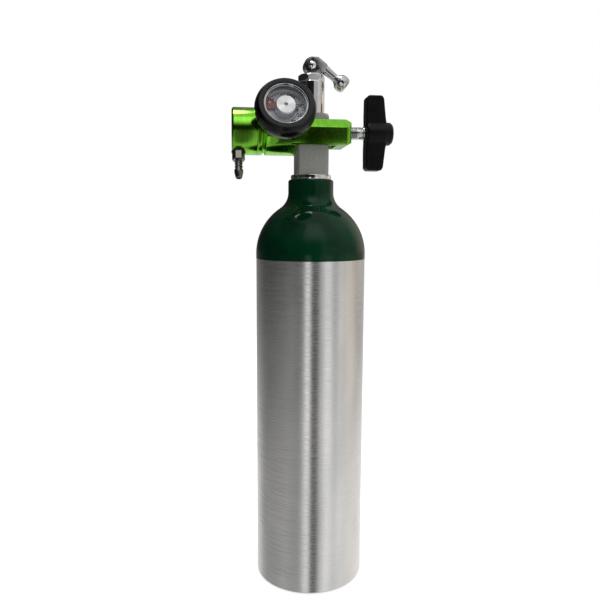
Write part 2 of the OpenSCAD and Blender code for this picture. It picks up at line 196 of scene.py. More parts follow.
def radial(heights, radius, steps, bore=0):
    """A solid whose wall stands radius(angle, height) from +Z, with an optional round bore."""
    bm = bmesh.new()
    angles = [2 * pi * k / steps for k in range(steps)]
    rings = []
    for z in heights:
        reach = [radius(a, z) for a in angles]
        rings.append([bm.verts.new((r * cos(a), r * sin(a), z)) for a, r in zip(angles, reach)])
    for a, b in zip(rings, rings[1:]):
        bridge(bm, a, b)
    foot, top = [circle(bm, bore, z, steps) for z in (heights[0], heights[-1])]
    bridge(bm, foot, rings[0])
    bridge(bm, rings[-1], top)
    if bore:
        bridge(bm, top, foot)
    return bm


def prism(outline, z0, z1, arcs=6):
    """A closed outline, with corners rounded where a radius is given, extruded from z0 to z1."""
    bm = bmesh.new()
    points = rounded(outline, arcs)
    low = [bm.verts.new((x, y, z0)) for x, y in points]
    high = [bm.verts.new((x, y, z1)) for x, y in points]
    bridge(bm, low, high)
    bm.faces.new(low)
    bm.faces.new(high)
    return bm


def block(x0, x1, y0, y1, z0, z1):
    return prism([(x0, y0), (x1, y0), (x1, y1), (x0, y1)], z0, z1)


def smooth_min(values, k):
    """The smallest value, blended where two are within k of each other."""
    low = values[0]
    for v in values[1:]:
        h = max(k - abs(low - v), 0) / k
        low = min(low, v) - h * h * k / 4
    return low


def walls(angle, planes, k):
    """Distance from the axis to the nearest of some flat walls, each (direction, distance)."""
    reach = []
    for direction, distance in planes:
        facing = cos(angle - radians(direction))
        if facing > 0.2:
            reach.append(distance / facing)
    return smooth_min(reach, k)


def steps_between(start, end, step):
    count = max(2, round(abs(end - start) / step))
    return [start + (end - start) * k / count for k in range(count + 1)]


def add_object(name, data):
    obj = bpy.data.objects.new(name, data)
    bpy.context.scene.collection.objects.link(obj)
    return obj


def solid(name, bm, where):
    """Writes a mesh to an object in the frame."""
    bmesh.ops.remove_doubles(bm, verts=bm.verts, dist=1e-4)
    bmesh.ops.recalc_face_normals(bm, faces=bm.faces)
    mesh = bpy.data.meshes.new(name)
    bm.to_mesh(mesh)
    bm.free()
    mesh.transform(MILLI @ where)
    return add_object(name, mesh)


def settle(obj):
    """Applies the object's modifiers."""
    bpy.context.view_layer.update()
    graph = bpy.context.evaluated_depsgraph_get()
    mesh = bpy.data.meshes.new_from_object(obj.evaluated_get(graph))
    obj.modifiers.clear()
    obj.data = mesh
    return obj


def combine(operation, obj, *others):
    """Boolean of obj with the others, which are used up."""
    for other in others:
        step = obj.modifiers.new("step", "BOOLEAN")
        step.operation = operation
        step.solver = "EXACT"
        step.material_mode = "TRANSFER"
        step.object = other
        settle(obj)
        bpy.data.objects.remove(other)
    return obj


def soften(obj, width, segments=3, angle=28):
    """Rounds the sharp edges by width, in millimetres."""
    step = obj.modifiers.new("edges", "BEVEL")
    step.width = width / MM
    step.segments = segments
    step.limit_method = "ANGLE"
    step.angle_limit = radians(angle)
    step.use_clamp_overlap = True
    return settle(obj)


def melt(obj, voxel, passes):
    """Joins overlapping shells into one skin and smooths it, as in a casting or moulding."""
    step = obj.modifiers.new("skin", "REMESH")
    step.mode = "VOXEL"
    step.voxel_size = voxel / MM
    settle(obj)
    step = obj.modifiers.new("smooth", "SMOOTH")
    step.factor = 0.5
    step.iterations = passes
    return settle(obj)


def join(obj, *others):
    """Merges the others' meshes into obj."""
    bm = bmesh.new()
    bm.from_mesh(obj.data)
    for other in others:
        bm.from_mesh(other.data)
        bpy.data.objects.remove(other)
    bm.to_mesh(obj.data)
    bm.free()
    return obj


def finish_colour(obj, material):
    obj.data.materials.clear()
    obj.data.materials.append(material)


def finish_piece(obj, body, material, nodes=(), sharp=30):
    """Shades a piece, gives it its material, and puts it on its CAD body."""
    obj.data.polygons.foreach_set("use_smooth", [True] * len(obj.data.polygons))
    obj.data.set_sharp_from_angle(angle=radians(sharp))
    if material is not None:
        finish_colour(obj, material)
    if nodes:
        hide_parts(*nodes)
    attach(obj, body)


# ---------- materials ----------

class Nodes:
    """Short calls that add shader nodes to a tree."""

    def __init__(self, tree):
        self.tree = tree

    def node(self, kind, inputs=None, **settings):
        new = self.tree.nodes.new("ShaderNode" + kind)
        for key, value in settings.items():
            setattr(new, key, value)
        for key, value in (inputs or {}).items():
            if isinstance(value, bpy.types.NodeSocket):
                self.tree.links.new(value, new.inputs[key])
            else:
                new.inputs[key].default_value = value
        return new

    def math(self, operation, *values):
        return self.node("Math", dict(enumerate(values)), operation=operation).outputs[0]

    def place(self):
        """The point in the CAD frame at rest, in metres."""
        return self.node("TexCoord").outputs["Object"]

    def point(self):
        """The same point in millimetres."""
        return self.stretch(self.place(), MM, MM, MM)

    def turned(self, where):
        """(radius, height, angle) about a local frame, in millimetres and radians."""
        back = (MILLI @ where).inverted()
        spin = back.to_3x3().normalized()
        move = self.node("Mapping", {
            "Vector": self.place(), "Location": back.translation,
            "Rotation": spin.to_euler(), "Scale": (MM, MM, MM)}).outputs[0]
        x, y, z = self.node("SeparateXYZ", {0: move}).outputs
        radius = self.math("SQRT", self.math("ADD", self.math("MULTIPLY", x, x),
                                             self.math("MULTIPLY", y, y)))
        angle = self.math("ARCTAN2", y, x)
        return self.node("CombineXYZ", {0: radius, 1: z, 2: angle}).outputs[0]

    def stretch(self, vector, x, y, z):
        return self.node("VectorMath", {0: vector, 1: (x, y, z)},
                         operation="MULTIPLY").outputs[0]

    def noise(self, vector, scale, detail=2.0, roughness=0.5):
        return self.node("TexNoise", {"Vector": vector, "Scale": scale, "Detail": detail,
                                      "Roughness": roughness}).outputs["Fac"]

    def grade(self, value, low, high, out_low, out_high):
        return self.node("MapRange", {0: value, 1: low, 2: high, 3: out_low, 4: out_high},
                         interpolation_type="SMOOTHSTEP").outputs[0]

    def spread(self, noise, out_low, out_high):
        """Draws the usual range of a noise out to another range."""
        return self.grade(noise, 0.3, 0.7, out_low, out_high)

    def mix(self, amount, first, second):
        new = self.node("Mix", {"Factor": amount}, data_type="RGBA")
        for index, value in ((6, first), (7, second)):
            if isinstance(value, bpy.types.NodeSocket):
                self.tree.links.new(value, new.inputs[index])
            else:
                new.inputs[index].default_value = (*value, 1)
        return new.outputs[2]


class Paint(Nodes):
    """A node material on one Principled shader."""

    def __init__(self, name, **sockets):
        self.material = bpy.data.materials.new(name)
        self.material.use_nodes = True
        super().__init__(self.material.node_tree)
        self.shader = self.tree.nodes["Principled BSDF"]
        for key, value in sockets.items():
            self.shader.inputs[key.replace("_", " ")].default_value = value

    def set(self, **sockets):
        for key, value in sockets.items():
            self.tree.links.new(value, self.shader.inputs[key.replace("_", " ")])

    def bump(self, height, distance, strength=1.0, below=None):
        """Relief: height 0 to 1 stands for distance, in millimetres."""
        inputs = {"Height": height, "Strength": strength, "Distance": distance / MM}
        if below is not None:
            inputs["Normal"] = below
        relief = self.node("Bump", inputs).outputs[0]
        self.tree.links.new(relief, self.shader.inputs["Normal"])
        return relief


def tint(colour, factor):
    return tuple(min(1, c * factor) for c in colour)


def turned_metal(name, where, colour, rough, lines=9.0, relief=0.004):
    """Metal with fine lathe marks round a local axis, uneven polish and faint scratches."""
    p = Paint(name, Metallic=1.0)
    ring = p.turned(where)
    fine = p.noise(p.stretch(ring, 1, 1, 0.35), lines, 3.0, 0.65)
    patch = p.noise(p.point(), 0.11, 3.0)
    scratch = p.noise(p.stretch(ring, 1.0, 1.0, 14.0), 1.9, 4.0, 0.7)
    p.set(Base_Color=p.mix(p.spread(patch, 0.0, 1.0), tint(colour, 0.86), colour),
          Roughness=p.math("ADD", p.spread(fine, rough * 0.75, rough * 1.25),
                           p.grade(scratch, 0.66, 0.78, 0.0, 0.16)))
    p.bump(fine, relief)
    return p.material


def cast_metal(name, colour, rough, grain, relief, metal=1.0):
    """Blasted or cast metal: a fine grain with duller patches."""
    p = Paint(name, Metallic=metal)
    point = p.point()
    grit = p.noise(point, grain, 4.0, 0.7)
    patch = p.noise(point, 0.16, 3.0)
    p.set(Base_Color=p.mix(p.spread(grit, 0.0, 1.0), tint(colour, 0.66), colour),
          Roughness=p.math("ADD", p.spread(patch, rough - 0.07, rough + 0.07),
                           p.grade(grit, 0.4, 0.8, 0.0, 0.08)))
    p.bump(grit, relief)
    return p.material


def chrome(name, colour=(0.86, 0.86, 0.87), rough=0.07):
    """Bright plating with faint haze and hairline scratches."""
    p = Paint(name, Metallic=1.0)
    point = p.point()
    haze = p.noise(point, 0.25, 3.0)
    hair = p.noise(p.stretch(point, 0.15, 1.0, 3.0), 4.0, 5.0, 0.75)
    p.set(Base_Color=p.mix(p.grade(haze, 0.35, 0.65, 0, 1), tint(colour, 0.93), colour),
          Roughness=p.math("ADD", p.spread(haze, rough * 0.7, rough * 1.5),
                           p.grade(hair, 0.68, 0.8, 0.0, 0.14)))
    p.bump(haze, 0.012, 0.7)
    return p.material


def moulded(name, colour, rough, grain=1.6, relief=0.02, bright=1.5, **sockets):
    """Moulded rubber or plastic: a fine spark texture, rubbed spots and uneven sheen."""
    p = Paint(name, **sockets)
    point = p.point()
    grit = p.noise(point, grain, 3.0, 0.6)
    patch = p.noise(point, 0.14, 4.0)
    dust = p.noise(point, 0.7, 5.0, 0.8)
    base = p.mix(p.grade(patch, 0.35, 0.7, 0, 1), colour, tint(colour, bright))
    dusty = tuple(min(1, c + 0.02) for c in colour)
    p.set(Base_Color=p.mix(p.grade(dust, 0.66, 0.85, 0, 0.35), base, dusty),
          Roughness=p.math("ADD", p.spread(patch, rough - 0.08, rough + 0.08),
                           p.spread(grit, -0.04, 0.05)))
    p.bump(grit, relief)
    return p.material


def brushed_body():
    """Bare aluminium wall: turned rings break up tall soft reflections."""
    p = Paint("aluminium_wall", Metallic=1.0, Anisotropic=0.75, Anisotropic_Rotation=0.25)
    ring = p.turned(UPRIGHT)
    fine = p.noise(p.stretch(ring, 1, 1, 0.6), 5.5, 4.0, 0.7)
    broad = p.noise(p.stretch(ring, 0.0, 0.55, 1.2), 1.0, 3.0)
    smear = p.noise(p.stretch(p.place(), MM, MM, 260), 0.05, 4.0)
    p.set(Base_Color=p.mix(p.grade(smear, 0.35, 0.65, 0, 1), (0.70, 0.70, 0.69),
                           (0.80, 0.79, 0.77)),
          Roughness=p.math("ADD", p.spread(fine, 0.20, 0.33),
                           p.grade(broad, 0.4, 0.7, 0, 0.05)),
          Tangent=p.node("Tangent", direction_type="RADIAL", axis="Z").outputs[0])
    jag = p.noise(p.stretch(ring, 0.0, 1.6, 5.5), 1.0, 3.0, 0.6)
    below = p.bump(fine, 0.006)
    p.bump(jag, 0.035, 1.0, below)
    return p.material


def shoulder_gloss():
    """Deep green gloss paint with orange peel, a cloudy tone and small scuffs."""
    p = Paint("green_gloss", IOR=1.5, Specular_IOR_Level=0.17)
    point = p.point()
    peel = p.noise(point, 0.55, 2.0)
    cloud = p.noise(point, 0.06, 3.0)
    scuff = p.noise(p.stretch(p.turned(UPRIGHT), 0.2, 1.0, 20.0), 2.0, 5.0, 0.8)
    base = p.mix(p.grade(cloud, 0.35, 0.65, 0, 1), (0.0010, 0.034, 0.0125),
                 (0.0022, 0.050, 0.0190))
    p.set(Base_Color=p.mix(p.grade(scuff, 0.72, 0.82, 0, 0.5), base, (0.03, 0.10, 0.055)),
          Roughness=p.grade(scuff, 0.6, 0.8, 0.10, 0.36))
    p.bump(peel, 0.03, 0.6)
    return p.material


def anodised():
    """Lime anodised aluminium with turned rings and small worn specks."""
    p = Paint("lime_anodised", Metallic=1.0, Coat_Weight=0.2, Coat_Roughness=0.06)
    ring = p.turned(ALONG)
    fine = p.noise(p.stretch(ring, 1, 1, 0.5), 7.0, 3.0, 0.7)
    tone = p.noise(p.stretch(ring, 0.4, 0.5, 1.0), 1.0, 3.0)
    wear = p.noise(p.point(), 1.3, 5.0, 0.8)
    base = p.mix(p.spread(tone, 0, 1), (0.17, 0.50, 0.030), (0.22, 0.62, 0.045))
    p.set(Base_Color=p.mix(p.grade(wear, 0.74, 0.84, 0, 0.4), base, (0.5, 0.75, 0.25)),
          Roughness=p.spread(fine, 0.11, 0.19))
    p.bump(fine, 0.005)
    return p.material


def spun_face():
    """Spun aluminium disc, whose marks run round the gauge axis and give a bow-tie highlight."""
    p = Paint("spun_aluminium", Metallic=1.0, Anisotropic=0.9)
    ring = p.turned(GAUGE)
    fine = p.noise(p.stretch(ring, 1, 1, 0.3), 11.0, 3.0, 0.7)
    p.set(Base_Color=p.mix(p.spread(fine, 0, 1), (0.52, 0.52, 0.53), (0.74, 0.74, 0.74)),
          Roughness=p.spread(fine, 0.24, 0.36))
    away = p.node("VectorMath", {0: p.place(), 1: (MILLI @ GAUGE).translation},
                  operation="SUBTRACT").outputs[0]
    axis = GAUGE.to_3x3() @ Vector((0, 0, 1))
    around = p.node("VectorMath", {0: axis, 1: away}, operation="CROSS_PRODUCT").outputs[0]
    p.set(Tangent=p.node("VectorTransform", {0: around}, vector_type="VECTOR",
                         convert_from="OBJECT", convert_to="WORLD").outputs[0])
    p.bump(fine, 0.006)
    return p.material


def clear_lens():
    """Clear moulded window with a trace of haze."""
    p = Paint("clear_window", Base_Color=(0.9, 0.95, 1.0, 1), Alpha=0.05, IOR=1.5)
    haze = p.noise(p.point(), 0.3, 4.0)
    p.set(Roughness=p.spread(haze, 0.02, 0.06))
    p.bump(haze, 0.004, 0.5)
    return p.material


def printed(name, colour, fade):
    """Ink or dial paint with slight mottling."""
    p = Paint(name, Roughness=0.5)
    point = p.point()
    mottle = p.noise(point, 1.1, 4.0, 0.7)
    grain = p.noise(point, 6.0, 2.0)
    p.set(Base_Color=p.mix(p.spread(mottle, 0, 1), colour, fade),
          Roughness=p.spread(grain, 0.38, 0.55))
    p.bump(grain, 0.004)
    return p.material


ALUMINIUM = brushed_body()
GREEN = shoulder_gloss()
LIME = anodised()
NICKEL = cast_metal("satin_nickel", (0.53, 0.53, 0.50), 0.50, 1.1, 0.04, metal=0.5)
PLATED = chrome("bright_plating")
LEVER_CHROME = chrome("lever_plating", (0.56, 0.55, 0.57), 0.14)
RUBBER = moulded("boot_rubber", (0.0022, 0.0022, 0.0030), 0.22, 1.3, 0.012,
                 Specular_IOR_Level=0.25)
SEAL = moulded("seal_rubber", (0.014, 0.013, 0.013), 0.5)
NYLON = moulded("handle_nylon", (0.003, 0.003, 0.003), 0.42, 1.9, 0.03, 1.4,
                Specular_IOR_Level=0.18)
CASE_BLACK = moulded("case_black", (0.012, 0.012, 0.015), 0.35, 2.0, 0.008)
PTFE = moulded("ptfe", (0.80, 0.80, 0.78), 0.4, 1.2, 0.01, 1.1)
BRASS_TONE = (0.78, 0.56, 0.24)
BRASS = turned_metal("turned_brass", ALONG, BRASS_TONE, 0.25)
BRASS_UP = turned_metal("turned_brass_upright", UPRIGHT, BRASS_TONE, 0.25)
BRASS_PLUG = turned_metal("turned_brass_plug", PLUG, (0.70, 0.52, 0.25), 0.30)
BRASS_GAUGE = turned_metal("turned_brass_gauge", GAUGE, (0.74, 0.56, 0.27), 0.28)
BRONZE = cast_metal("sintered_bronze", (0.55, 0.32, 0.15), 0.5, 3.0, 0.05)
TUBE = cast_metal("bronze_tube", (0.62, 0.40, 0.18), 0.3, 1.5, 0.006)
STEEL_TONE = (0.60, 0.60, 0.60)
STEEL = turned_metal("turned_steel", ALONG, STEEL_TONE, 0.24)
STEEL_UP = turned_metal("turned_steel_upright", UPRIGHT, STEEL_TONE, 0.24)
SCREW = turned_metal("screw_chrome", ALONG, (0.62, 0.62, 0.63), 0.14, 4.0, 0.006)
BARB_METAL = turned_metal("barb_nickel", BARB, (0.24, 0.235, 0.22), 0.24, 6.0, 0.01)
BEZEL = turned_metal("bezel_chrome", GAUGE, (0.42, 0.42, 0.44), 0.12, 6.0, 0.003)
SPUN = spun_face()
LENS = clear_lens()
DIAL = printed("dial_white", (0.86, 0.87, 0.95), (0.92, 0.93, 0.99))
INK = printed("dial_ink", (0.03, 0.03, 0.04), (0.06, 0.06, 0.08))
RED_INK = printed("dial_red", (0.52, 0.03, 0.03), (0.60, 0.07, 0.06))
GREEN_INK = printed("dial_green", (0.008, 0.12, 0.03), (0.02, 0.16, 0.05))
NEEDLE = printed("needle_black", (0.012, 0.012, 0.012), (0.03, 0.03, 0.03))


# ---------- cylinder ----------

DOME_Z = 249.5
FILLET_R = 14
NECK_R = 16.6
FILLET_X = NECK_R + FILLET_R
FILLET_Z = DOME_Z + sqrt((BODY_R + FILLET_R) ** 2 - FILLET_X ** 2)
DOME_END = degrees(atan2(FILLET_Z - DOME_Z, FILLET_X))


def shoulder_line(t, start_z, rows):
    """The outside line from start_z up over the dome and neck to the top face, moved out by t."""
    line = [(BODY_R + t, z) for z in steps_between(start_z, DOME_Z, 1.5)[:-1]]
    line += arc(0, DOME_Z, BODY_R + t, 0, DOME_END, rows)
    line += arc(FILLET_X, FILLET_Z, FILLET_R - t, 180 + DOME_END, 180, 16)[1:]
    line += [(NECK_R + t, z) for z in steps_between(FILLET_Z, NECK_Z - 1.5, 2)[1:]]
    line += arc(NECK_R - 1.5, NECK_Z - 1.5, 1.5 + t, 0, 90, 6)[1:]
    return line


def cylinder_body():
    dish_r, dish_drop, dish_top, dish_angle = 75.4, 70.4, 5, 20.98
    foot_r, wall, bore = 1.6, 4.1, 9.5
    inner_dome_z, floor_z, corner = 246, 10, 10
    profile = [(0, dish_top)]
    profile += [(dish_r * sin(radians(a)), dish_r * cos(radians(a)) - dish_drop) for a in
                [dish_angle * k / 12 for k in range(1, 13)]]
    profile += [(BODY_R - foot_r, 0)] + arc(BODY_R - foot_r, foot_r, foot_r, -90, 0, 8)[1:]
    profile += [(BODY_R, z) for z in steps_between(foot_r, 240, 12)[1:]]
    profile += shoulder_line(0, 246, 24)
    inner = BODY_R - wall
    meet = degrees(atan2(sqrt(inner ** 2 - bore ** 2), bore))
    profile += [(bore, NECK_Z, 0.5), (bore, inner_dome_z + inner * sin(radians(meet)))]
    profile += arc(0, inner_dome_z, inner, meet, 0, 24)[1:]
    profile += arc(inner - corner, floor_z + corner, corner, 0, -90, 10) + [(0, floor_z)]
    obj = solid("cylinder_body", lathe(profile, 192), UPRIGHT)
    finish_piece(obj, "cylinder", ALUMINIUM, ["cylinder_shell"])


def dents():
    """Soft worn punch marks round the shoulder.

    Each is (turn, height angle, length, width, depth, lean).
    """
    rng = random.Random(11)
    marks = []
    for row, gap in ((24, 7.5), (33, 8.5), (42, 10.5)):
        a = rng.uniform(0, gap)
        while a < 360:
            if rng.random() > 0.22:
                marks.append((a + rng.uniform(-1.2, 1.2), row + rng.uniform(-0.8, 0.8),
                              rng.uniform(0.8, 1.6), rng.uniform(0.35, 0.55),
                              rng.uniform(0.05, 0.11), rng.uniform(-1.2, 1.2)))
            a += gap
    return marks


def shoulder_coat():
    start = span("shoulder_paint")[0].z
    coat, under, rim = 0.15, 0.05, 15.0
    outer = [(BODY_R - under, start + 0.02), (BODY_R + 0.07, start), (BODY_R + coat, start + 0.12)]
    outer += shoulder_line(coat, start + 0.5, 80)
    outer += [(15.2, NECK_Z + coat), (rim, NECK_Z + under)]
    inner = shoulder_line(-under, start + 0.5, 40)
    inner.reverse()
    bm = lathe(outer + [(rim, NECK_Z - under)] + inner, 360)
    lowest, highest, edge, deepest, fall = 18, 48, 3, 0.13, 2.718
    marks = dents()
    for v in bm.verts:
        flat = hypot(v.co.x, v.co.y)
        up = degrees(atan2(v.co.z - DOME_Z, flat))
        reach = hypot(flat, v.co.z - DOME_Z)
        if not lowest < up < highest or reach < BODY_R + 0.1:
            continue
        around = degrees(atan2(v.co.y, v.co.x)) % 360
        depth = 0
        for a, row, length, width, deep, lean in marks:
            across = radians((around - a + 180) % 360 - 180) * flat
            rise = radians(up - row) * reach
            if abs(across) < edge and abs(rise) < edge:
                u = across * cos(lean) + rise * sin(lean)
                w = rise * cos(lean) - across * sin(lean)
                depth += deep * fall ** -((u / length) ** 2 + (w / width) ** 2)
        v.co -= Vector((v.co.x, v.co.y, v.co.z - DOME_Z)).normalized() * min(depth, deepest)
    obj = solid("shoulder_coat", bm, UPRIGHT)
    finish_piece(obj, "cylinder", GREEN, ["shoulder_paint"], 40)


# ---------- valve ----------

def valve_forging():
    flange = solid("valve_forging", lathe([
        (0, 285), (9.4, 285, 0.4), (9.4, 304.0), (14.2, 304.0), (14.8, 304.4, 0.3),
        (14.8, 307.1, 0.5), (14.2, 307.6, 0.3), (0, 307.6)], 144), UPRIGHT)
    finish_colour(flange, PLATED)
    half_x, half_y, corner = 11.7, 11, 14.92
    foot_z, top_z, free = 307.2, 351, 99
    sides = [(0, half_x), (180, half_x), (90, half_y), (270, half_y)]
    sides += [(a, corner) for a in (45, 135, 225, 315)]

    def reach(angle, z):
        top = 12.8 + (top_z - z) if z > 340 else free
        foot = 16.5 if z <= 308.4 else free
        return smooth_min([walls(angle, sides, 0.35), top, foot], 0.3)

    heights = [foot_z] + steps_between(307.9, 342, 3) + steps_between(342.6, top_z, 0.3)
    cube = solid("cube", radial(heights, reach, 360), UPRIGHT)
    finish_colour(cube, NICKEL)
    post = solid("post", lathe([(0, 350), (9.5, 350), (9.5, 373.4, 0.3), (9.1, 374, 0.2),
                                (0, 374)], 144), UPRIGHT)
    finish_colour(post, PLATED)
    obj = combine("UNION", flange, cube, post)
    gas_way = [(0, 283), (2.65, 283), (2.65, 290), (2.2, 290), (2.2, 345), (6.03, 345),
               (6.03, 366.2), (7.05, 366.2), (7.05, 376), (0, 376)]
    cuts = [solid("cut", lathe([(0, -12.5), (3.4, -12.5), (3.4, -6.9), (1.8, -6.9),
                                (1.8, -4.6), (0, -4.6)], 48), ALONG),
            solid("cut", lathe(gas_way, 72), UPRIGHT)]
    for spot in INDEX_PINS:
        hole = lathe([(0, -12.5), (2.3, -12.5), (2.3, -11.6), (2.1, -11.4), (2.1, -4.6),
                      (0, -4.2)], 32)
        cuts.append(solid("cut", hole, spot))
    cuts.append(solid("cut", lathe([(0, 10.1), (3.2, 10.1), (6.3, 11.8), (0, 11.9)], 48), ALONG))
    cuts.append(solid("cut", rod(4.2, 5, 12, 48), PLUG))
    combine("DIFFERENCE", obj, *cuts)
    finish_piece(obj, "cylinder", None, ["valve_body"], 32)


def hexagon(corner, z0, z1, top_cone, foot_cone=None, bore=0, k=0.25):
    """Hex head between z0 and z1 with turned chamfers: each cone is the radius at its end face."""
    flats = [(30 + 60 * i, corner * cos(radians(30))) for i in range(6)]
    slope = 1.25

    def reach(angle, z):
        limits = [walls(angle, flats, k), top_cone + (z1 - z) * slope]
        if foot_cone is not None:
            limits.append(foot_cone + (z - z0) * slope)
        limits.append(corner - 0.1)
        return smooth_min(limits, k)

    return radial(steps_between(z0, z1, 0.16), reach, 240, bore)


def gland_nut():
    hexed = hexagon(10, POST_TOP, POST_TOP + 4.9, 8.5, 9.2, 4.05)
    finish_piece(solid("gland_hex", hexed, turn("Z", 4.5)), "cylinder",
                 PLATED, ["gland_nut"], 38)


def safety_plug():
    obj = solid("relief_plug", hexagon(6.2, 5.65 + 5.5, 15.1, 5.3, bore=2.6), PLUG)
    core = solid("core", rod(4.1, 5.6, 12.6, 48), PLUG)
    combine("UNION", obj, core)
    finish_piece(obj, "cylinder", BRASS_PLUG, ["safety_plug"], 38)


def spindle():
    obj = solid("spindle_tang", lathe([
        (0, 357), (5.6, 357, 0.3), (5.6, 360.6, 0.3), (4, 360.6), (4, 379.6, 0.4), (0, 380.0)],
        96), UPRIGHT)
    tang = soften(solid("tang", block(-3.1, 3.1, -2.4, 2.4, 379.3, TOGGLE_Z), UPRIGHT), 0.35)
    disc = solid("disc", lathe([(0, -2.4), (5.3, -2.4, 0.5), (5.3, 2.4, 0.5), (0, 2.4)], 72), PIN)
    key = solid("key", block(-3, 3, -0.9, 0.9, 353, 357.5), UPRIGHT)
    combine("UNION", obj, tang, disc, key)
    combine("DIFFERENCE", obj, solid("cut", rod(1.5, -4, 4, 32), PIN))
    finish_piece(obj, "spindle_unit", PLATED, ["spindle"], 32)


def toggle_pin():
    profile = mirrored([(0, -6.1), (1.1, -6.03), (2.0, -5.75), (2.6, -5.25, 0.15), (2.6, -5.1),
                        (1.5, -5.1)])
    finish_piece(solid("toggle_rivet", lathe(profile, 64), PIN), "spindle_unit",
                 PLATED, ["toggle_pin"], 40)


def toggle_lever():
    eye = 5.9
    cheek = [(0, -eye)] + arc(0, 0, eye, -88, -2, 12)[1:-1]
    cheek += [(eye, 0.4), (9.2, 0.6, 0.6), (9.2, 7.2, 1.6), (0, 7.2, 2.5)]
    cheek += arc(0, 0, eye, 115, 268, 20)
    obj = solid("toggle_handle", prism(cheek, -4.9, 4.9), TOGGLE)
    gap = [(-8, -8), (3.4, -8), (6.3, -3, 2), (6.3, 9), (-8, 9)]
    combine("DIFFERENCE", obj, solid("cut", prism(gap, -2.7, 2.7), TOGGLE),
            solid("cut", rod(1.55, -8, 8, 32), TOGGLE))
    soften(obj, 0.45)
    bar = lathe([(0, 8), (3.45, 8), (3.4, 10, 1), (2.8, 17.6, 2), (2.85, 18.7, 2), (4.3, 20.9, 1.0),
                 (5.2, 21.5, 1.2), (5.9, 23.1, 1.5), (6.0, 25.7, 1.5), (5.5, 27.7, 1.5),
                 (3.6, 28.8, 1.2), (0, 28.9)], 96, 6)
    arm = solid("arm", bar, TOGGLE @ shift(0, 4.3, 0) @ turn("Y", 90))
    combine("UNION", obj, arm)
    finish_piece(obj, "lever_unit", LEVER_CHROME, ["toggle_lever"], 32)


# ---------- regulator ----------

def regulator_body():
    x0 = PART_X
    window_x = -12.3
    groove_r = REG_R - 1.7
    barrel = [(0, x0), (REG_R, x0, 0.3), (REG_R, x0 + 3.4, 0.25), (groove_r, x0 + 4.6, 0.15),
              (groove_r, x0 + 5.1, 0.15), (REG_R, x0 + 6.2, 0.25), (REG_R, window_x, 0.3),
              (0, window_x)]
    obj = solid("regulator_yoke", lathe(barrel, 192), ALONG)
    deep, low, high = 16, -10.2, 8.2
    side = turn("Z", 90) @ turn("X", 90)
    end_view = solid("yoke", prism([
        (0.8 - deep, low), (deep - 0.8, low), (deep, low + 0.8), (deep, 2), (deep - 4.2, high),
        (4.2 - deep, high), (-deep, 2), (-deep, low + 0.8)], -15.9, YOKE_X1 + 2),
        CENTRE @ side)
    plan = solid("plan", prism([(-17, -deep - 1), (-17, deep + 1), (-10, deep + 1), (-10, deep),
                                (YOKE_X1, deep, 3.8), (YOKE_X1, -deep, 3.8), (-10, -deep),
                                (-10, -deep - 1)], -15, 15, 16), CENTRE)
    profile = solid("profile", prism([
        (-17, low - 1), (-10, low - 1), (-10, low), (YOKE_X1 - 3, low), (YOKE_X1, low + 1.8),
        (YOKE_X1, high - 2.4), (YOKE_X1 - 3.8, high), (-10, high), (-10, high + 1),
        (-17, high + 1)], -20, 20), FRONT)
    combine("INTERSECT", end_view, plan, profile)
    window = solid("window", block(window_x, 17.2, -11.7, 11.7, -20, 20), CENTRE)
    screw = solid("screw", rod(4.55, 16, 40, 64), ALONG)
    combine("DIFFERENCE", end_view, window, screw)
    soften(end_view, 0.35)
    combine("UNION", obj, end_view)
    cuts = [solid("cut", rod(7.4, 16.1, 30, 72), GAUGE),
            solid("cut", rod(5, 6, 20, 48), GAUGE),
            solid("cut", rod(14.05, x0 - 1, x0 + 3.2, 96), ALONG),
            solid("cut", lathe([(0, -14), (6.2, -13.7), (6.2, -11), (0, -11)], 64), ALONG),
            solid("cut", lathe([
                (0, x0 - 1), (11, x0 - 1), (11, -28.35), (3.55, -28.35), (3.55, -27.6), (4.7, -27.6),
                (4.7, -26.2), (3.55, -26.2), (3.55, -22.8), (3, -22.8), (3, -21), (1.2, -21),
                (1.2, -19), (4.02, -19), (4.02, -13), (0, -13)], 72), ALONG),
            solid("cut", rod(0.8, 10, 20, 24), shift(x0 + 4.85, 0, REG_Z))]
    cuts += [solid("cut", rod(2.05, -17, -11, 32), spot) for spot in INDEX_PINS]
    combine("DIFFERENCE", obj, *cuts)
    finish_piece(obj, "cylinder", LIME, ["regulator_body"], 32)


def regulator_head():
    x0 = HEAD_X0
    x1 = PART_X - 0.02
    profile = [(0, x0 + 2), (3, x0 + 2), (3, x0, 0.25), (REG_R - 1, x0, 0.3), (REG_R, x0 + 1, 0.4),
               (REG_R, x1, 0.3), (14, x1), (14, x1 + 3), (0, x1 + 3)]
    obj = solid("flow_head", lathe(profile, 192), ALONG)
    chamber = [(0, BARB_X), (1, BARB_X), (1, -46), (9.5, -46), (9.5, -36), (0, -36)]
    cuts = [solid("cut", lathe([(0, 0), (1, 0), (1, 8), (3.6, 8), (3.6, 18), (0, 18)], 48), BARB),
            solid("cut", lathe(chamber, 72), ALONG),
            solid("cut", rod(5.4, 16.2, 21, 64), BARB)]
    combine("DIFFERENCE", obj, *cuts)
    finish_piece(obj, "cylinder", LIME, ["regulator_head"], 32)


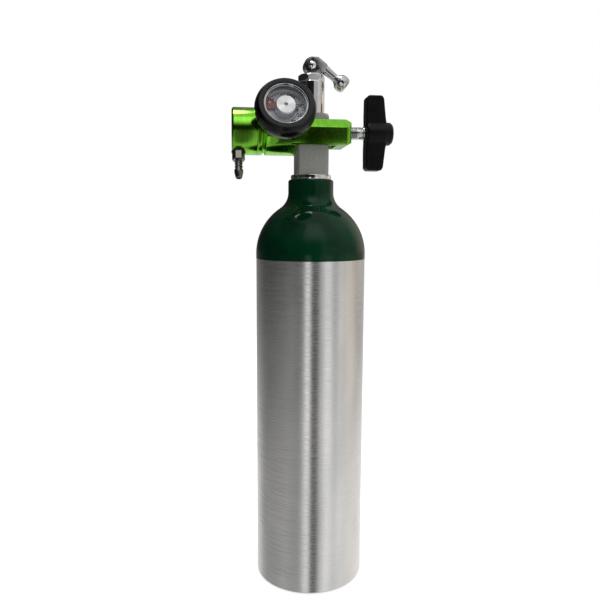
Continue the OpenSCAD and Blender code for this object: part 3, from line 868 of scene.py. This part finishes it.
def hose_barb():
    nut = solid("barb_fitting", hexagon(4.7, 16.94, 23.3, 4.1, 4.3, 0, 0.2), BARB)
    stem = lathe([(0, 9.3), (3.5, 9.3), (3.5, 17.2), (2.9, 17.2), (2.6, 23, 0.3), (2.6, 23.6),
                  (2.45, 24.0), (2.95, 26.0, 0.1), (2.45, 26.2), (2.45, 26.8), (2.95, 28.6, 0.1),
                  (2.45, 28.8), (2.5, 30.4), (3.2, 30.8, 0.08), (3.2, 32.4, 0.15),
                  (2.3, 37.0, 0.25), (1.7, 37.0, 0.1), (1.5, 36.8), (1.5, 30), (0, 30)], 72)
    combine("UNION", nut, solid("stem", stem, BARB))
    finish_piece(nut, "cylinder", BARB_METAL, ["hose_barb"], 34)


def barb_washer():
    profile = [(3.6, 16.22, 0.1), (5.1, 16.22, 0.25), (5.1, 16.92, 0.25), (3.6, 16.92, 0.1)]
    finish_piece(solid("barb_gasket", lathe(profile, 72), BARB), "cylinder",
                 SEAL, ["barb_washer"])


# ---------- gauge ----------

def gauge_boot():
    groove_r, groove_half, groove_deep = 19.6, 0.95, 0.62
    outer = []
    for r, z in arc(8.97, 31.5, 12.33, -48.2, 38.6, 72):
        for groove_z in (37.9, 25):
            near = hypot(r - groove_r, z - groove_z)
            r -= groove_deep * max(0, 1 - (near / groove_half) ** 2)
        outer.append((r, z))
    outer[0] = (outer[0][0], outer[0][1], 0.7)
    outer[-1] = (outer[-1][0], outer[-1][1], 0.5)
    profile = [(8, 22.31, 0.3)] + outer + [(15.5, 39.19, 0.3), (15.5, 37.95, 0.2), (17.46, 37.95),
                                           (17.46, 24.12), (8, 24.12, 0.2)]
    obj = solid("rubber_boot", lathe(profile, 192, 5), GAUGE)
    finish_piece(obj, "cylinder", RUBBER, ["gauge_boot"], 40)


def gauge_case():
    profile = [(4.03, 24.2), (17.35, 24.2, 0.5), (17.35, 36.4, 0.2), (16.4, 36.4, 0.2),
               (16.4, 33.3, 0.1), (16.15, 33.1, 0.1), (16.4, 32.9, 0.1), (16.4, 25.6, 0.6),
               (4.03, 25.6)]
    finish_piece(solid("gauge_can", lathe(profile, 144), GAUGE), "cylinder",
                 CASE_BLACK, ["gauge_case"])


def gauge_bezel():
    profile = [(14, 36.45, 0.1), (17.4, 36.45, 0.1), (17.4, 37.85, 0.15), (15.4, 37.85, 0.1),
               (15.4, 38.3, 0.15), (15.1, 38.6, 0.2), (14.85, 38.6, 0.15), (14.6, 38.35, 0.15),
               (14.6, 37.5), (14, 37.5, 0.1)]
    finish_piece(solid("bezel_ring", lathe(profile, 192, 5), GAUGE), "cylinder",
                 BEZEL, ["gauge_bezel"], 45)


def gauge_lens():
    rim_r, rim_z, rise = 14.5, 37.95, 0.28
    dome = [(rim_r * k / 20, rim_z + rise * cos(pi / 2 * k / 20)) for k in range(21)]
    under = [(14.45, 37.6), (0, 37.6)]
    finish_piece(solid("clear_cover", lathe(dome + under, 96), GAUGE), "cylinder",
                 LENS, ["gauge_lens"])


DIAL_TOP = 29.4


def patch(inner, outer, start, end, z0=DIAL_TOP - 0.02, z1=DIAL_TOP + 0.05):
    """A printed sector of the dial."""
    steps = max(2, round(abs(end - start) / 3))
    ring = arc(0, 0, outer, start, end, steps) + arc(0, 0, inner, end, start, steps)
    return prism(ring, z0, z1)


def gauge_dial():
    plate = solid("dial_plate", lathe([(1.5, 28.6), (16.3, 28.6, 0.1), (16.3, DIAL_TOP, 0.1),
                                       (1.5, DIAL_TOP)], 144), GAUGE)
    finish_colour(plate, DIAL)
    finish_piece(plate, "cylinder", None, ["gauge_dial"])


def numeral(text, angle, radius, size):
    """A flat numeral, level on the dial, centred at a place given by angle and radius."""
    curve = bpy.data.curves.new("numeral", "FONT")
    curve.body = text
    curve.size = size
    curve.align_x = "CENTER"
    curve.align_y = "CENTER"
    curve.extrude = 0.03
    curve.offset = 0.18
    holder = add_object("numeral", curve)
    settled = bpy.data.meshes.new_from_object(holder.evaluated_get(
        bpy.context.evaluated_depsgraph_get()))
    bpy.data.objects.remove(holder)
    spot = shift(radius * cos(radians(angle)), radius * sin(radians(angle)), DIAL_TOP + 0.03)
    settled.transform(MILLI @ GAUGE @ spot)
    return add_object("numeral", settled)


def dial_marks():
    tick_r, numeral_r, numeral_size = 13.5, 10.6, 3.5
    parts = []
    for k in range(25):
        a = 180 - 10 * k
        deep, wide = (2.1, 1.9) if k % 4 == 0 else (1.2, 1.1)
        parts.append(solid("tick", patch(tick_r - deep, tick_r, a - wide, a + wide), GAUGE))
    parts.append(solid("scale", patch(13.45, 13.85, -60, 142), GAUGE))
    parts.append(solid("scale", patch(8.3, 8.7, -62, 30), GAUGE))
    for text, a in (("5", 140), ("10", 100), ("15", 60), ("20", 20), ("25", -20), ("30", -58)):
        parts.append(numeral(text, a, numeral_r, numeral_size))
    marks = join(*parts)
    marks.name = "dial_marks"
    finish_piece(marks, "cylinder", INK)
    red = solid("dial_red", patch(6.6, 15.9, 137, 181), GAUGE)
    finish_piece(red, "cylinder", RED_INK)
    white = solid("dial_box", patch(11.0, 13.0, 146, 155, DIAL_TOP, DIAL_TOP + 0.09), GAUGE)
    finish_piece(white, "cylinder", DIAL)
    green = solid("dial_green", patch(10.6, 13.4, 53, 83), GAUGE)
    finish_piece(green, "cylinder", GREEN_INK)


def gauge_pointer():
    hub = solid("pointer_hub", lathe([
        (0, 27), (1, 27, 0.2), (1, 30.2), (7.2, 30.2, 0.3), (7.2, 36.55, 0.3), (6.5, 37.2, 0.25),
        (1.2, 37.2, 0.15), (1.2, 34.2), (0, 34)], 144), GAUGE)
    line = solid("cut", block(-0.22, 0.22, 1.0, 6.9, 36.9, 38), GAUGE)
    combine("DIFFERENCE", hub, line)
    finish_piece(hub, "pointer_unit", SPUN, ["gauge_pointer"], 28)
    outline = mirrored([(-12.8, -0.22), (-6.5, -0.85), (-5, -0.9), (6, -1.1), (9.2, -1.1, 0.3)])
    needle = soften(solid("pointer_needle", prism(outline, 30.1, 30.5), GAUGE), 0.06, 2)
    finish_piece(needle, "pointer_unit", NEEDLE)


def gauge_stem():
    obj = solid("gauge_union", hexagon(6.4, 16.12, 22.1, 5.8, 5.9, 0, 0.2), GAUGE)
    neck = solid("neck", lathe([(0, 8), (4.95, 8), (4.95, 16.3), (4, 16.3), (4, 26.7),
                                (0, 26.7)], 64), GAUGE)
    combine("UNION", obj, neck)
    finish_piece(obj, "cylinder", BRASS_GAUGE, ["gauge_stem"], 38)


# ---------- clamp screw and handle ----------

def clamp_screw():
    profile = [(0, 13), (2, 13, 0.2), (2, 15.2), (3.6, 15.2), (4.5, 16.1, 0.2)]
    pitch, crest, root = 1.05, 4.5, 4.12
    x = 17.0
    while x < 33.5:
        profile += [(crest, x), (root, x + 0.42), (crest, x + 0.84)]
        x += pitch
    profile += [(crest, 34.2), (crest, 37.3, 0.3), (3.6, 37.3, 0.15), (3.6, 38.2, 0.15),
                (crest, 38.25, 0.4), (4.9, 39.1, 0.6), (crest, 40, 0.4), (3.9, 40), (3.9, 53, 0.4),
                (0, 53)]
    finish_piece(solid("clamp_spindle", lathe(profile, 96), ALONG), "handle_unit",
                 SCREW, ["clamp_screw"], 35)


def pressure_pad():
    profile = [(0, 10.8), (2.6, 10.8, 0.3), (4.3, 12, 0.3), (4.3, 14.8, 0.3), (2.05, 14.8),
               (2.05, 12.6), (0, 12.6)]
    finish_piece(solid("swivel_pad", lathe(profile, 64), ALONG), "pad_unit", STEEL,
                 ["pressure_pad"])


def t_handle():
    outline = mirrored([
        (40.2, 6, 2), (40, 12, 4), (40.2, TEE_HALF - 2, 1), (41.7, TEE_HALF, 2.2),
        (52, TEE_HALF, 2.6), (53.3, TEE_HALF - 2.4, 2), (54.7, 12, 4), (55.5, 7, 2)])
    arms = solid("t_grip", prism(outline, -6, 6, 8), FRONT)
    soften(arms, 1.7, 5, 50)
    hub = solid("hub", lathe([(0, 40.7), (8.2, 40.7, 1.2), (9.05, 42.3, 2), (9.05, 54.3, 2),
                              (8.6, 56.1, 1), (8.4, 56.4, 0.3), (8.3, 58.8, 0.8),
                              (6.8, 60.6, 0.8), (0, 60.8)], 96), ALONG)
    join(arms, hub)
    melt(arms, 0.36, 5)
    cuts = [solid("cut", lathe([(0, 39), (5.1, 39), (5.1, 40.6), (3.95, 40.6), (3.95, 53.4),
                                (0, 53.4)], 64), ALONG),
            solid("cut", rod(1.25, -14, 6.6, 32), HANDLE_PIN)]
    combine("DIFFERENCE", arms, *cuts)
    finish_piece(arms, "handle_unit", NYLON, ["t_handle"], 40)


def handle_pin():
    profile = [(0.35, -8.8, 0.1), (1.2, -8.8, 0.3), (1.2, 6.5, 0.3), (0.35, 6.5, 0.1)]
    finish_piece(solid("roll_pin", lathe(profile, 40), HANDLE_PIN), "handle_unit",
                 STEEL, ["handle_pin"])


for build in (cylinder_body, shoulder_coat, valve_forging, gland_nut, safety_plug, spindle,
              toggle_pin, toggle_lever, regulator_body, regulator_head, hose_barb, barb_washer,
              gauge_boot, gauge_case, gauge_bezel, gauge_lens, gauge_dial, dial_marks,
              gauge_pointer, gauge_stem, clamp_screw, pressure_pad, t_handle, handle_pin):
    build()

# ---------- CAD nodes that stay as they are ----------

KEPT = {
    "neck_o_ring": SEAL, "debris_tube": STEEL_UP, "stem_packing": PTFE, "burst_disc": BRASS_PLUG,
    "seat_plug": BRASS_UP, "seat_insert": PTFE, "head_o_ring": SEAL, "inlet_nipple": BRASS,
    "inlet_filter": BRONZE, "seal_washer": BRASS, "index_pins": STEEL, "nozzle": BRASS,
    "piston": STEEL, "piston_o_ring": SEAL, "stem_o_ring": SEAL, "piston_seat": PTFE,
    "piston_spring": STEEL, "flow_orifice": BRASS, "gauge_movement": BRASS, "bourdon_tube": TUBE}
for node_name, material in KEPT.items():
    for slot in frame["nodes"][node_name].material_slots:
        slot.material = material


# ---------- studio ----------

def camera():
    data = bpy.data.cameras.new("camera")
    data.lens = 37.62
    data.sensor_width = 36
    obj = add_object("camera", data)
    obj.location = (-0.0653, -0.4685, 0.2749)
    ahead_x, ahead_y, tilt, lean = 0.1219, 0.9925, radians(7.307), radians(-0.22)
    forward = Vector((ahead_x * cos(tilt), ahead_y * cos(tilt), -sin(tilt)))
    obj.rotation_mode = "QUATERNION"
    roll = Matrix.Rotation(lean, 3, forward).to_quaternion()
    obj.rotation_quaternion = roll @ forward.to_track_quat("-Z", "Y")
    bpy.context.scene.camera = obj


def floor():
    level, steps = -0.0001, 96
    bm = bmesh.new()
    rings = [circle(bm, r, level, steps) for r in (0.15, 0.4, 0.9, 1.6, 2.6)]
    bridge(bm, circle(bm, 0, level, steps), rings[0])
    for a, b in zip(rings, rings[1:]):
        bridge(bm, a, b)
    mesh = bpy.data.meshes.new("floor")
    bmesh.ops.recalc_face_normals(bm, faces=bm.faces)
    bm.to_mesh(mesh)
    bm.free()
    obj = add_object("floor", mesh)
    p = Paint("floor_paper", Roughness=0.9, Specular_IOR_Level=0.1, Emission_Color=(1, 1, 1, 1),
              Emission_Strength=0.55)
    grain = p.noise(p.point(), 0.4, 3.0)
    p.set(Base_Color=p.mix(grain, (0.86, 0.86, 0.86), (0.89, 0.89, 0.89)))
    mesh.materials.append(p.material)
    obj.visible_glossy = False
    obj.visible_diffuse = False


# radiance of the surroundings round the object: (turn, grey, warmth) well below, just below,
# just above and high above the horizon. A turn is in degrees toward +X, counted from the
# direction that lies RAMP_TURN degrees from -Y on its -X side.
RAMP_TURN = 7
BELOW = [(-180, 1.00, 0), (-150, 0.85, 0), (-116, 0.40, 0), (-91, 0.40, 0), (-53, 0.46, 0),
         (-22, 0.42, 0), (-12, 0.90, 0), (-2, 0.90, 0), (1, 0.12, 0), (16, 0.12, 0), (21, 0.66, 0),
         (27, 0.60, 0), (32, 0.90, 0), (46, 0.84, 0), (52, 0.72, 0), (66, 0.86, 0), (94, 0.84, 0.03),
         (119, 0.88, 0.02), (150, 1.00, 0), (180, 1.00, 0)]
LEVEL = [(-180, 0.45, 0), (-150, 0.20, 0), (-116, 0.07, -0.02), (-91, 0.05, -0.02), (-60, 0.07, 0),
         (-37, 0.16, 0), (-22, 0.11, 0), (-13, 0.13, 0), (-9, 1.50, 0), (-1, 1.50, 0), (1, 0.07, 0),
         (16, 0.07, 0), (21, 0.70, 0), (26, 0.38, 0), (31, 1.10, 0), (43, 1.00, 0), (49, 0.42, 0),
         (58, 0.38, 0), (63, 0.74, 0), (76, 0.54, 0.02), (82, 0.66, 0.09), (100, 0.62, 0.12),
         (112, 0.38, 0.08), (135, 0.38, 0.03), (158, 0.55, 0), (180, 0.45, 0)]
ABOVE = [(-180, 0.08, 0), (-143, 0.05, 0), (-112, 0.02, 0), (-90, 0.015, 0), (-60, 0.02, 0),
         (-41, 0.03, 0), (-26, 0.005, 0), (-5, 0.01, 0), (10, 0.012, 0), (21, 0.02, 0), (25, 0.46, 0),
         (48, 0.38, 0), (66, 0.60, 0.02), (88, 0.48, 0.10), (104, 0.34, 0.12), (118, 0.72, 0.15),
         (140, 0.66, 0.12), (158, 0.25, 0), (180, 0.08, 0)]
HIGH = [(-180, 0.30, 0), (-150, 0.12, 0), (-60, 0.10, 0), (-24, 0.30, 0), (-8, 1.60, 0),
        (26, 1.60, 0), (44, 0.90, 0), (90, 0.80, 0.03), (150, 0.70, 0.03), (180, 0.30, 0)]


def ramp(p, share, stops):
    """Light by turn, where share runs from 0 to 1 over the stops' -180 to 180 degrees."""
    new = p.node("ValToRGB", {0: share})
    table = new.color_ramp.elements
    for turned, _, _ in stops[1:-1]:
        table.new(turned / 360 + 0.5)
    for stop, (_, grey, warm) in zip(table, stops):
        stop.color = (grey * (1 + warm), grey, grey * (1 - warm), 1)
    return new.outputs[0]


def world():
    scene = bpy.context.scene
    scene.world = bpy.data.worlds.new("studio")
    scene.world.use_nodes = True
    tree = scene.world.node_tree
    p = Nodes(tree)
    x, y, z = p.node("SeparateXYZ", {0: p.node("TexCoord").outputs["Generated"]}).outputs
    turned = p.math("ARCTAN2", x, p.math("MULTIPLY", y, -1.0))
    share = p.math("FRACT", p.math("ADD", p.math("DIVIDE", turned, 2 * pi), 1.5 + RAMP_TURN / 360))
    up = p.math("ARCSINE", z)
    zenith, nadir = (0.80, 0.80, 0.80), (0.66, 0.66, 0.65)
    light = ramp(p, share, BELOW)
    # each next ramp takes over between two heights, in degrees above the horizon
    for start, end, stops in ((-26, -7, LEVEL), (-4, 3, ABOVE), (18, 50, HIGH)):
        climb = p.grade(up, radians(start), radians(end), 0.0, 1.0)
        light = p.mix(climb, light, ramp(p, share, stops))
    light = p.mix(p.grade(up, radians(60), radians(72), 0.0, 1.0), light, zenith)
    light = p.mix(p.grade(up, radians(-80), radians(-56), 1.0, 0.0), light, nadir)
    seen = p.node("LightPath").outputs["Is Camera Ray"]
    tree.links.new(p.mix(seen, light, (1.0, 1.0, 1.0)), tree.nodes["Background"].inputs["Color"])


def overhead_lamp():
    spot, aim = Vector((-0.22, 0.12, 1.5)), Vector((-0.05, 0, 0.3))
    data = bpy.data.lights.new("overhead", "AREA")
    data.shape = "DISK"
    data.size = 0.55
    data.energy = 7
    obj = add_object("overhead", data)
    obj.location = spot
    obj.rotation_mode = "QUATERNION"
    obj.rotation_quaternion = (aim - spot).to_track_quat("-Z", "Y")


camera()
floor()
world()
overhead_lamp()
bpy.context.scene.view_settings.view_transform = "Standard"
